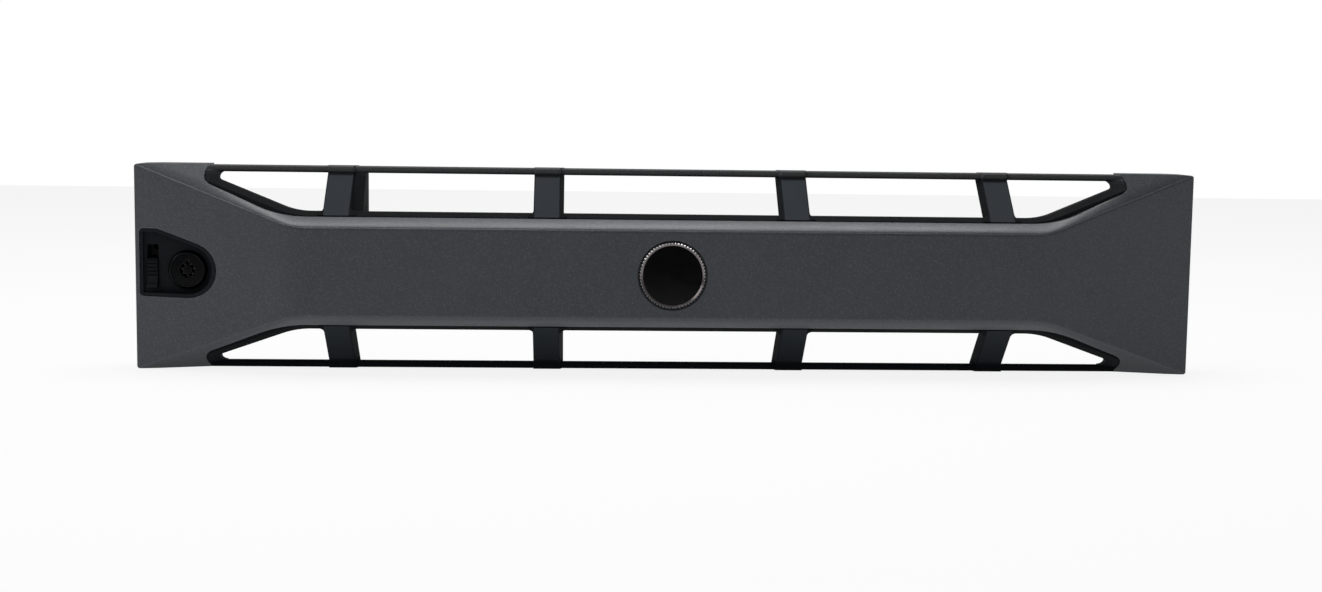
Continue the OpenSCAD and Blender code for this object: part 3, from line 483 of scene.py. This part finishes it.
def black_plastic(name="Black plastic", grain=1.0, scuff_amount=0.25, shine=0.09, tone=1.0):
    """Black plastic with a moulded grain and slightly polished edges; its colour holds painted shade
    on the openings' lips, a painted highlight on the upper rail and painted light on the ribs.
    """
    if name in bpy.data.materials:
        return bpy.data.materials[name]
    plastic = bpy.context.scene.bezel_plastic
    material, tree, shader = new_material(name)
    grained = use_group(tree, "Moulded grain", {"Size": plastic.grain_size * grain})
    wear = use_group(tree, "Edge wear", {
        "Radius": 0.22 * MM, "Amount": scuff_amount, "Patch Size": 4 * MM})
    dust = use_group(tree, "Settled dust", {"Amount": 0.05})
    darker = tuple(tone * c for c in plastic.color)
    lighter = tuple(1.5 * c for c in darker)
    body = blend_color(tree, math_node(tree, "MULTIPLY", grained["Patches"], 0.5),
                       rgba(darker), rgba(lighter))
    shape = use_group(tree, "Frame shape", {"Base": wear["Normal"]})
    # painted shade: the openings' lips are darkened to near black as if in shadow
    painted_lip_shade = blend_color(tree, math_node(tree, "MULTIPLY", shape["Lip"], 0.8),
                       body, (0.0008, 0.0013, 0.0020, 1))
    # painted highlight: the top of the upper rail's front is lightened where the overhead light
    # catches its rounded edge
    rubbed = blend_color(tree, math_node(tree, "MULTIPLY", shape["Rail"], 0.8),
                         painted_lip_shade, (0.125, 0.128, 0.132, 1))
    # painted light: the fronts of the ribs are lightened where light falls on them
    rubbed = blend_color(tree, math_node(tree, "MULTIPLY", shape["Rib"], 0.8),
                         rubbed, (0.036, 0.043, 0.051, 1))
    worn = blend_color(tree, wear["Mask"], rubbed, rgba(plastic.scuff))
    dusty = blend_color(tree, dust["Mask"], worn, (0.22, 0.21, 0.20, 1))
    rough = math_node(tree, "ADD", plastic.roughness - 0.04,
                      math_node(tree, "MULTIPLY", grained["Patches"], 0.08))
    bump = add(tree, "Bump", {"Height": grained["Height"], "Normal": shape["Normal"],
                              "Strength": 0.30, "Distance": 0.08 * MM})
    wire(tree, shader, Base_Color=dusty, Roughness=rough, Normal=bump.outputs["Normal"])
    shader.inputs["Specular IOR Level"].default_value = shine
    return material


def ring_metal():
    """Bright plated metal with fine turning marks; the inner slope is coloured darker, as painted
    shade with a pinkish tint.
    """
    badge = bpy.context.scene.bezel_badge
    material, tree, shader = new_material("Ring metal")
    centre = (0.0, 0.0, -NODE_MIDDLE["badge_ring"].z)
    moved = add(tree, "Mapping", {"Vector": place_of(tree), "Location": centre})
    turned = add(tree, "TexWave", {
        "Vector": moved.outputs["Vector"], "Scale": 1500.0, "Distortion": 0.6, "Detail": 1.0},
        wave_type="RINGS", rings_direction="Y")
    marks = use_group(tree, "Handling marks", {"Size": 0.006})
    along = add(tree, "SeparateXYZ", {0: moved.outputs["Vector"]}).outputs
    radius = math_node(tree, "SQRT", math_node(
        tree, "ADD", math_node(tree, "MULTIPLY", along["X"], along["X"]),
        math_node(tree, "MULTIPLY", along["Z"], along["Z"])))
    rim = spread(tree, radius, 12.9 * MM, 13.15 * MM)
    # painted shade: the inner slope takes the darker slope colour, the rim the bright metal
    rim_and_painted_shade = blend_color(tree, rim, rgba(badge.slope), rgba(badge.metal))
    dulled = tuple(0.7 * c for c in badge.slope)
    tint = blend_color(tree, math_node(tree, "MULTIPLY", marks["Marks"], 0.35),
                       rim_and_painted_shade, rgba(dulled))
    bump = add(tree, "Bump", {"Height": turned.outputs["Fac"], "Strength": 0.06,
                              "Distance": 0.03 * MM})
    rough = spread(tree, marks["Marks"], 0.0, 1.0, 0.16, 0.30)
    wire(tree, shader, Base_Color=tint, Roughness=rough, Normal=bump.outputs["Normal"])
    shader.inputs["Metallic"].default_value = 1.0
    return material


def gloss_black():
    """Gloss black lacquer with faint wiping marks."""
    badge = bpy.context.scene.bezel_badge
    material, tree, shader = new_material("Gloss black")
    marks = use_group(tree, "Handling marks", {"Size": 0.009})
    dust = use_group(tree, "Fine texture", {"Size": 0.6 * MM, "Fleck Size": 0.9 * MM})
    haze = blend_color(tree, math_node(tree, "MULTIPLY", marks["Marks"], 0.25),
                       rgba(badge.disc), (0.0040, 0.0040, 0.0046, 1))
    rough = spread(tree, marks["Marks"], 0.0, 1.0, 0.09, 0.17)
    bump = add(tree, "Bump", {"Height": dust["Height"], "Strength": 0.02, "Distance": 0.05 * MM})
    wire(tree, shader, Base_Color=haze, Roughness=rough, Normal=bump.outputs["Normal"])
    shader.inputs["Specular IOR Level"].default_value = 0.13
    return material


def foam_pad():
    """Dark adhesive foam with open cells."""
    material, tree, shader = new_material("Adhesive foam")
    cells = add(tree, "TexVoronoi", {"Vector": place_of(tree), "Scale": 3200.0})
    color = blend_color(tree, spread(tree, cells.outputs["Distance"], 0.1, 0.6),
                        (0.012, 0.012, 0.012, 1), (0.045, 0.045, 0.044, 1))
    bump = add(tree, "Bump", {"Height": cells.outputs["Distance"], "Strength": 0.6,
                              "Distance": 0.15 * MM})
    wire(tree, shader, Base_Color=color, Roughness=0.92, Normal=bump.outputs["Normal"])
    return material


def lock_metal():
    """Black plated zinc, turned, with rubbed edges."""
    if "Lock metal" in bpy.data.materials:
        return bpy.data.materials["Lock metal"]
    metal = bpy.context.scene.bezel_metal
    material, tree, shader = new_material("Lock metal")
    centre = NODE_MIDDLE["lock_barrel"]
    moved = add(tree, "Mapping", {"Vector": place_of(tree), "Location": (-centre.x, 0, -centre.z)})
    turned = add(tree, "TexWave", {
        "Vector": moved.outputs["Vector"], "Scale": 900.0, "Distortion": 0.8, "Detail": 2.0},
        wave_type="RINGS", rings_direction="Y")
    fine = use_group(tree, "Fine texture", {"Size": 0.3 * MM, "Fleck Size": 0.25 * MM})
    wear = use_group(tree, "Edge wear", {"Radius": 0.3 * MM, "Amount": 0.8, "Patch Size": 2 * MM})
    grime = use_group(tree, "Handling marks", {"Size": 0.004})
    body = blend_color(tree, math_node(tree, "MULTIPLY", fine["Flecks"], 0.3),
                       rgba(metal.lock), (0.004, 0.005, 0.007, 1))
    worn = blend_color(tree, wear["Mask"], body, (0.20, 0.20, 0.205, 1))
    height = math_node(tree, "ADD", math_node(tree, "MULTIPLY", turned.outputs["Fac"], 0.4),
                       fine["Height"])
    bump = add(tree, "Bump", {"Height": height, "Normal": wear["Normal"], "Strength": 0.12,
                              "Distance": 0.05 * MM})
    wire(tree, shader, Base_Color=worn, Roughness=spread(tree, grime["Marks"], 0, 1, 0.13, 0.26),
         Metallic=math_node(tree, "MULTIPLY", wear["Mask"], 0.8), Normal=bump.outputs["Normal"])
    shader.inputs["Specular IOR Level"].default_value = 0.13
    return material


def plated_steel(name="Plated steel", shade=1.0):
    """Plated sheet steel with rolling marks and a faint spangle."""
    if name in bpy.data.materials:
        return bpy.data.materials[name]
    metal = bpy.context.scene.bezel_metal
    material, tree, shader = new_material(name)
    rolled = use_group(tree, "Rolling marks", {"Size": metal.brush_size})
    wear = use_group(tree, "Edge wear", {"Radius": 0.3 * MM, "Amount": 0.5, "Patch Size": 3 * MM})
    marks = use_group(tree, "Handling marks", {"Size": 0.012})
    bright = tuple(shade * c for c in metal.steel)
    dull = tuple(0.72 * c for c in bright)
    body = blend_color(tree, math_node(tree, "MULTIPLY", rolled["Spangle"], 0.35),
                       rgba(bright), rgba(dull))
    aged = blend_color(tree, math_node(tree, "MULTIPLY", marks["Marks"], 0.3),
                       body, (0.40 * shade, 0.41 * shade, 0.40 * shade, 1))
    worn = blend_color(tree, wear["Mask"], aged, (0.70 * shade, 0.71 * shade, 0.72 * shade, 1))
    rough = math_node(tree, "ADD", metal.roughness - 0.06,
                      math_node(tree, "MULTIPLY", marks["Marks"], 0.16))
    bump = add(tree, "Bump", {"Height": rolled["Height"], "Normal": wear["Normal"],
                              "Strength": 0.12, "Distance": 0.04 * MM})
    wire(tree, shader, Base_Color=worn, Roughness=rough, Normal=bump.outputs["Normal"])
    shader.inputs["Metallic"].default_value = 1.0
    return material


# ---------- modelling ----------

def middle(node):
    low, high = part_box(node)
    return (low + high) / 2


NODE_MIDDLE = {name: middle(name) for name in NODES}


def nothing_selected():
    if bpy.context.mode != "OBJECT":
        bpy.ops.object.mode_set(mode="OBJECT")
    bpy.ops.object.select_all(action="DESELECT")


def make_active(piece):
    nothing_selected()
    piece.select_set(True)
    bpy.context.view_layer.objects.active = piece


def settle(piece, name):
    """Names a piece and puts its place into its mesh."""
    piece.name = piece.data.name = name
    make_active(piece)
    bpy.ops.object.transform_apply(location=True, rotation=True, scale=True)
    return piece


def apply_modifier(piece, kind, **settings):
    make_active(piece)
    modifier = piece.modifiers.new(kind.title(), kind)
    for name, value in settings.items():
        setattr(modifier, name, value)
    bpy.ops.object.modifier_apply(modifier=modifier.name)


def finish_shading(piece, angle=32.0):
    make_active(piece)
    bpy.ops.object.shade_smooth_by_angle(angle=math.radians(angle))
    apply_modifier(piece, "WEIGHTED_NORMAL", keep_sharp=True)


def dress(piece, material, body, slot, *nodes):
    """Gives a finished piece its material and body, and hides the nodes it stands for; the slot is
    not used.
    """
    piece.data.materials.clear()
    piece.data.materials.append(material)
    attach(piece, body)
    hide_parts(*nodes)


def softened(node, name, width, angle=35.0):
    """A piece with a node's shape whose sharp edges are rounded."""
    piece = bpy.data.objects.new(name, NODES[node].data.copy())
    piece.data.name = name
    bpy.context.scene.collection.objects.link(piece)
    make_active(piece)
    bpy.ops.object.mode_set(mode="EDIT")
    bpy.ops.mesh.select_all(action="SELECT")
    bpy.ops.mesh.customdata_custom_splitnormals_clear()
    bpy.ops.mesh.remove_doubles(threshold=0.002 * MM)
    bpy.ops.mesh.dissolve_limited(angle_limit=math.radians(0.2))
    bpy.ops.object.mode_set(mode="OBJECT")
    apply_modifier(piece, "BEVEL", width=width, segments=2, limit_method="ANGLE",
                   angle_limit=math.radians(angle), use_clamp_overlap=True)
    finish_shading(piece)
    return piece


def soften_node(node, width, material, body, slot, angle=35.0):
    """Stands a softened copy in for a node, with its finish."""
    piece = softened(node, node + "_rounded", width, angle)
    dress(piece, material, body, slot, node)
    return piece


def choose_vertices(piece, wanted):
    """Selects the vertices that a test picks by place, and goes on in edit mode."""
    make_active(piece)
    bpy.ops.object.mode_set(mode="EDIT")
    bpy.ops.mesh.select_mode(type="VERT")
    bpy.ops.mesh.select_all(action="DESELECT")
    bpy.ops.object.mode_set(mode="OBJECT")
    for vertex in piece.data.vertices:
        vertex.select = wanted(vertex.co)
    bpy.ops.object.mode_set(mode="EDIT")


def turned_from_circle(name, steps, profile):
    """A closed turned solid about Z: one circle, extruded from ring to ring of its profile."""
    nothing_selected()
    radius, height = profile[0]
    bpy.ops.mesh.primitive_circle_add(
        vertices=steps, radius=radius, fill_type="NOTHING", location=(0, 0, height))
    piece = settle(bpy.context.object, name)
    bpy.ops.object.mode_set(mode="EDIT")
    bpy.ops.mesh.select_all(action="SELECT")
    for next_radius, next_height in profile[1:]:
        bpy.ops.mesh.extrude_edges_move(
            TRANSFORM_OT_translate={"value": (0, 0, next_height - height)})
        grow = next_radius / radius
        bpy.ops.transform.resize(value=(grow, grow, 1), center_override=(0, 0, next_height))
        radius, height = next_radius, next_height
    bpy.ops.mesh.select_all(action="DESELECT")
    bpy.ops.mesh.select_non_manifold()
    bpy.ops.mesh.bridge_edge_loops()
    bpy.ops.mesh.select_all(action="SELECT")
    bpy.ops.mesh.normals_make_consistent(inside=False)
    bpy.ops.object.mode_set(mode="OBJECT")
    return piece


def joined(piece, *others):
    make_active(piece)
    for other in others:
        other.select_set(True)
    bpy.ops.object.join()
    return piece


# The badge ring in section: radius and height above the ring's seat
RING_PROFILE = [(r * MM, h * MM) for r, h in (
    (9.5, 0), (13.8, 0), (13.8, 1.10), (13.62, 1.50), (13.25, 1.79), (12.95, 1.70),
    (12.55, 1.38), (12.0, 1.0), (12.0, 0.5), (9.5, 0.5))]
RING_SEAT = -20.65 * MM
RING_PIN = 10.5 * MM


def knurled_ring():
    """The badge's ring, its front edge cut into knurls, with its two pins behind."""
    badge = bpy.context.scene.bezel_badge
    piece = turned_from_circle("badge_ring_knurled", 4 * badge.knurls, RING_PROFILE)
    pitch = math.tau / badge.knurls

    def in_row(co, share):
        """Whether a rim vertex lies a given share of a pitch from a knurl's crest."""
        turn = (math.atan2(co.y, co.x) / pitch + 0.25) % 1.0
        away = min(turn, 1.0 - turn)
        on_rim = math.hypot(co.x, co.y) > 13.1 * MM and co.z > 1.0 * MM
        return on_rim and abs(away - share) < 0.05

    for share, depth in ((0.5, 1.0), (0.25, 0.35)):
        choose_vertices(piece, lambda co: in_row(co, share))
        cut = 1.0 - depth * badge.knurl_depth / (13.6 * MM)
        bpy.ops.transform.resize(value=(cut, cut, 1), center_override=(0, 0, 0))
        bpy.ops.transform.translate(value=(0, 0, -0.8 * depth * badge.knurl_depth))
        bpy.ops.object.mode_set(mode="OBJECT")
    pins = []
    for x in (-RING_PIN, RING_PIN):
        nothing_selected()
        bpy.ops.mesh.primitive_cylinder_add(
            vertices=24, radius=0.8 * MM, depth=2.2 * MM, location=(x, 0, -1.0 * MM))
        pins.append(settle(bpy.context.object, "pin"))
    piece = joined(piece, *pins)
    piece.rotation_euler = (math.radians(90), 0, 0)
    piece.location = (0, RING_SEAT, NODE_MIDDLE["badge_ring"].z)
    settle(piece, "badge_ring_knurled")
    finish_shading(piece, 28.0)
    return piece


def finish_node(node, material):
    """Gives a node that keeps its own mesh a better material."""
    for slot in NODES[node].material_slots:
        slot.material = material


# ---------- the pieces ----------

class BEZEL_OT_faceplate(bpy.types.Operator):
    """Make the painted faceplate"""

    bl_idname = "bezel.faceplate"
    bl_label = "Faceplate"

    def execute(self, context):
        finish_node("faceplate", slate_paint())
        return {"FINISHED"}


class BEZEL_OT_inner_frame(bpy.types.Operator):
    """Make the black frame with its ribs and rails"""

    bl_idname = "bezel.inner_frame"
    bl_label = "Inner frame"

    def execute(self, context):
        finish_node("inner_frame", black_plastic())
        return {"FINISHED"}


class BEZEL_OT_badge(bpy.types.Operator):
    """Make the round badge"""

    bl_idname = "bezel.badge"
    bl_label = "Badge"

    def execute(self, context):
        dress(knurled_ring(), ring_metal(), "bezel", "badge_metal", "badge_ring")
        finish_node("badge_disc", gloss_black())
        finish_node("badge_pad", foam_pad())
        return {"FINISHED"}


class BEZEL_OT_lock(bpy.types.Operator):
    """Make the lock and its housing"""

    bl_idname = "bezel.lock"
    bl_label = "Lock"

    def execute(self, context):
        finish_node("lock_housing", black_plastic("Housing plastic", 0.9, 0.06, 0.14, 1.5))
        soften_node("lock_barrel", 0.25 * MM, lock_metal(), "bezel", "lock_black")
        soften_node("lock_plug", 0.18 * MM, lock_metal(), "lock", "lock_black")
        soften_node("lock_nut", 0.25 * MM, plated_steel(), "bezel", "steel")
        # painted shade: the lock pins deep in the keyway are given a very dark steel
        soften_node("lock_pins", 0.12 * MM, plated_steel("Pin steel", 0.12), "lock", "steel")
        soften_node("lock_cam", 0.2 * MM, plated_steel(), "lock", "steel")
        return {"FINISHED"}


class BEZEL_OT_latch(bpy.types.Operator):
    """Make the release slider, the latch and the hook bracket"""

    bl_idname = "bezel.latch"
    bl_label = "Latch"

    def execute(self, context):
        metal = context.scene.bezel_metal
        finish_node("release_slider", black_plastic("Slider plastic", 0.6, 0.45, 0.2))
        # the latch plate is black plated steel, darkened further as painted shade where it shows
        # through the slot
        soften_node("latch_plate", metal.edge, plated_steel("Black plated steel", 0.02),
                    "latch", "lock_black")
        soften_node("hook_bracket", metal.edge, plated_steel(), "bezel", "steel")
        # painted shade: the spring seen through the slot is given the same very dark steel
        spring = soften_node("latch_spring", 0.05 * MM, plated_steel("Pin steel", 0.12),
                             "bezel", "steel")
        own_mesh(spring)
        return {"FINISHED"}


class BEZEL_OT_screws(bpy.types.Operator):
    """Make the screws"""

    bl_idname = "bezel.screws"
    bl_label = "Screws"

    def execute(self, context):
        steel = plated_steel()
        for node, body, edge in (
                ("cam_screw", "lock", 0.5), ("slider_screw", "latch", 0.35),
                ("latch_screws", "bezel", 0.4), ("bracket_screws", "bezel", 0.35),
                ("frame_screws", "bezel", 0.55), ("housing_screws", "bezel", 0.55)):
            soften_node(node, edge * MM, steel, body, "steel")
        return {"FINISHED"}


# ---------- the stage ----------

def add_floor(studio):
    bpy.ops.mesh.primitive_plane_add(size=1, location=(0, 0.65, 0))
    floor = bpy.context.object
    floor.scale = (3.2, 2.0, 1)
    settle(floor, "floor")
    material, tree, shader = new_material("Floor")
    paper = add(tree, "TexNoise", {"Vector": place_of(tree), "Scale": 400.0, "Detail": 2.0})
    tint = blend_color(tree, math_node(tree, "MULTIPLY", paper.outputs["Fac"], 0.04),
                       rgba(studio.floor), (0.76, 0.76, 0.76, 1))
    wire(tree, shader, Base_Color=tint, Roughness=0.9)
    shader.inputs["Specular IOR Level"].default_value = 0.1
    white = add(tree, "Emission", {"Color": (1, 1, 1, 1), "Strength": 1.0})
    path = add(tree, "LightPath").outputs
    mirrored = math_node(tree, "MULTIPLY", path["Is Glossy Ray"], 0.8)
    plain = math_node(tree, "MAXIMUM", path["Is Camera Ray"], mirrored)
    seen = math_node(tree, "MULTIPLY", plain, 0.86)
    mixed = add(tree, "MixShader", {0: seen, 1: shader.outputs["BSDF"], 2: white.outputs[0]})
    tree.links.new(mixed.outputs[0], tree.nodes["Material Output"].inputs["Surface"])
    floor.data.materials.append(material)


def add_room(studio):
    """A room that is pale behind the bezel and dim before it; the camera sees it white."""
    world = bpy.data.worlds.new("Room")
    bpy.context.scene.world = world
    world.use_nodes = True
    tree = world.node_tree
    back = tree.nodes["Background"]
    along = add(tree, "SeparateXYZ", {0: add(tree, "TexCoord").outputs["Generated"]})
    level = spread(tree, along.outputs["Y"], -0.75, 0.7, studio.room_front, studio.room_back)
    room = add(tree, "CombineXYZ", {"X": level, "Y": level, "Z": level})
    seen = add(tree, "LightPath").outputs["Is Camera Ray"]
    color = blend_color(tree, seen, room.outputs[0], (1, 1, 1, 1))
    tree.links.new(color, back.inputs["Color"])
    back.inputs["Strength"].default_value = 1.0


def add_softbox(name, place, target, width, height, power):
    bpy.ops.object.light_add(type="AREA", location=place)
    lamp = bpy.context.object
    lamp.name = lamp.data.name = name
    lamp.data.shape = "RECTANGLE"
    lamp.data.size = width
    lamp.data.size_y = height
    lamp.data.energy = power
    toward = Vector(target) - Vector(place)
    lamp.rotation_euler = toward.to_track_quat("-Z", "Y").to_euler()


# Turn of the camera about X, Y and Z, and its place, from the bezel's front
CAMERA_TURN = (0.104, 0.008, 0.049)
CAMERA_PLACE = Vector((-0.0407, -0.75155, 0.1102))
CAMERA_LENS = 48.922


def add_camera():
    turn = (Matrix.Rotation(CAMERA_TURN[2], 3, "Z") @ Matrix.Rotation(CAMERA_TURN[1], 3, "Y")
            @ Matrix.Rotation(CAMERA_TURN[0], 3, "X"))
    right, forward, up = turn
    bpy.ops.object.camera_add()
    camera = bpy.context.object
    camera.name = "camera"
    axes = Matrix((right, up, -forward)).transposed()
    camera.matrix_world = Matrix.Translation(CAMERA_PLACE) @ axes.to_4x4()
    camera.data.sensor_width = 36
    camera.data.lens = CAMERA_LENS
    camera.data.clip_start = 0.01
    bpy.context.scene.camera = camera


class BEZEL_OT_stage(bpy.types.Operator):
    """Make the floor, the lamps, the room and the camera"""

    bl_idname = "bezel.stage"
    bl_label = "Stage"

    def execute(self, context):
        nothing_selected()
        studio = context.scene.bezel_studio
        add_floor(studio)
        add_room(studio)
        add_softbox("overhead softbox", (-0.06, 0.12, 1.0), (0, 0, 0.04), 1.0, 0.45,
                    studio.overhead)
        add_softbox("left light", (-1.15, -0.75, 0.75), (-0.1, 0, 0.04), 0.8, 0.8, studio.front)
        add_camera()
        context.scene.view_settings.view_transform = "Standard"
        return {"FINISHED"}


class BEZEL_PT_panel(bpy.types.Panel):
    """Lists what builds the bezel."""

    bl_idname = "BEZEL_PT_panel"
    bl_label = "Server front bezel"
    bl_space_type = "VIEW_3D"
    bl_region_type = "UI"
    bl_category = "Bezel"

    def draw(self, context):
        column = self.layout.column()
        for operator in OPERATORS:
            column.operator(operator.bl_idname)
        for group in SETTINGS:
            box = self.layout.box()
            settings = getattr(context.scene, group)
            for name in settings.__annotations__:
                box.prop(settings, name)


SETTINGS = {
    "bezel_paint": BezelPaint,
    "bezel_plastic": BezelPlastic,
    "bezel_badge": BezelBadge,
    "bezel_metal": BezelMetal,
    "bezel_studio": BezelStudio,
}
OPERATORS = (
    BEZEL_OT_faceplate, BEZEL_OT_inner_frame, BEZEL_OT_badge, BEZEL_OT_lock, BEZEL_OT_latch,
    BEZEL_OT_screws, BEZEL_OT_stage,
)


def register():
    for cls in (*SETTINGS.values(), *OPERATORS, BEZEL_PT_panel):
        bpy.utils.register_class(cls)
    for name, cls in SETTINGS.items():
        setattr(bpy.types.Scene, name, PointerProperty(type=cls))


def unregister():
    for name in SETTINGS:
        delattr(bpy.types.Scene, name)
    for cls in (BEZEL_PT_panel, *reversed(OPERATORS), *SETTINGS.values()):
        bpy.utils.unregister_class(cls)


def main():
    register()
    bpy.ops.bezel.faceplate()
    bpy.ops.bezel.inner_frame()
    bpy.ops.bezel.badge()
    bpy.ops.bezel.lock()
    bpy.ops.bezel.latch()
    bpy.ops.bezel.screws()
    bpy.ops.bezel.stage()


if __name__ == "__main__":
    main()
